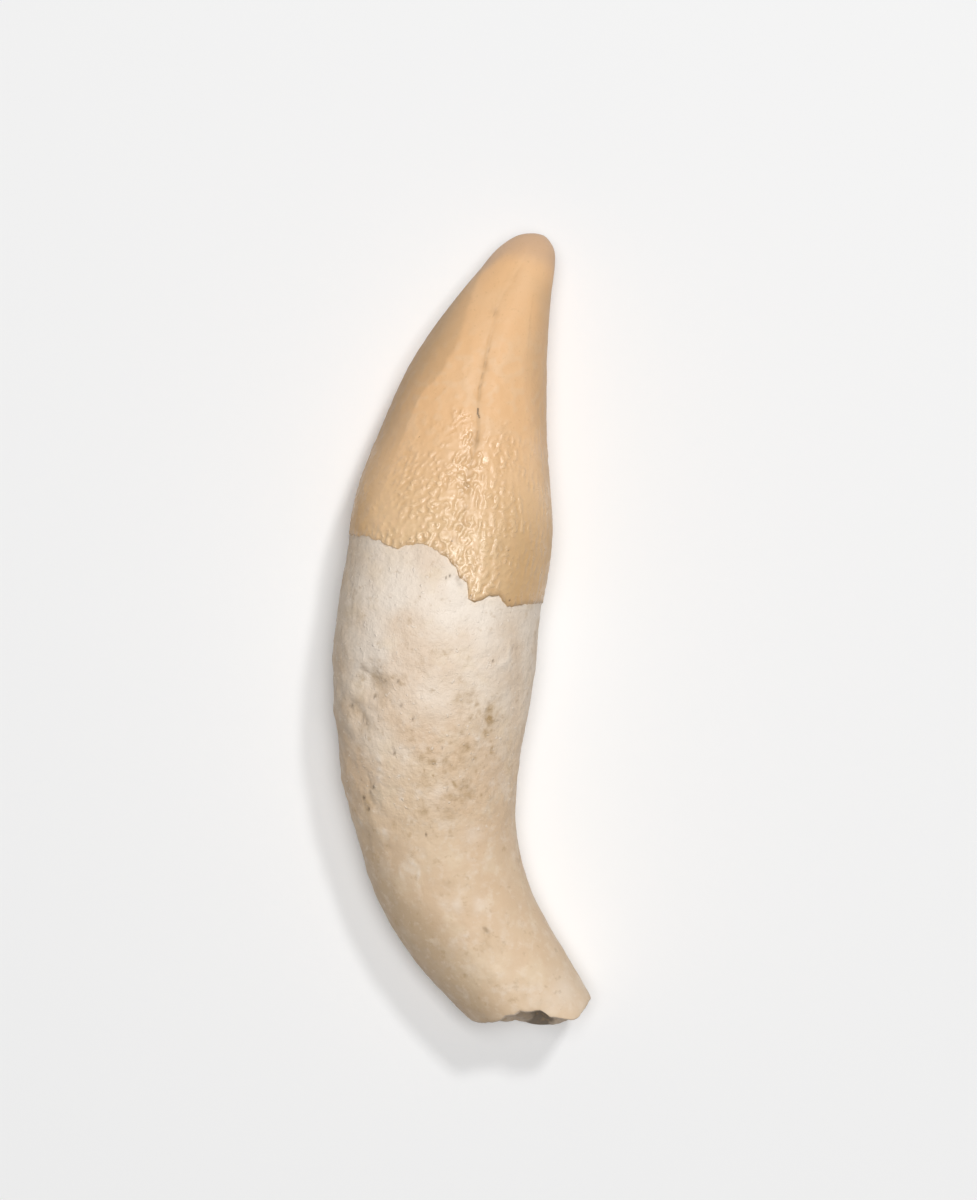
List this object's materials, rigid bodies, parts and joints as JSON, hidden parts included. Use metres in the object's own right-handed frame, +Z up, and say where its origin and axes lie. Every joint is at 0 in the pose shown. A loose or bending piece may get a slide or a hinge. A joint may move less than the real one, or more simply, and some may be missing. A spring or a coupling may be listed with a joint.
{
  "type": "fossil dolphin tooth",
  "caption": "Curved conical fossil tooth with a wrinkled enamel crown and a stout root broken off at its end, lying on its side as a specimen to handle or display.",
  "frame": {"origin": "under the middle of the tooth's box, on the surface that it lies on", "axes": "+Y along the tooth towards the tip of the crown, +X to the hollow side of its bend, +Z up out of the surface"},
  "size_m": [0.016, 0.05, 0.0111],
  "materials": {
    "fossil_tooth": "amber wrinkled enamel with a soft gloss on the crown, chalky cream root, mineralised throughout"
  },
  "bodies": {
    "root": {"tooth": "fossil_tooth"}
  },
  "joints": []
}
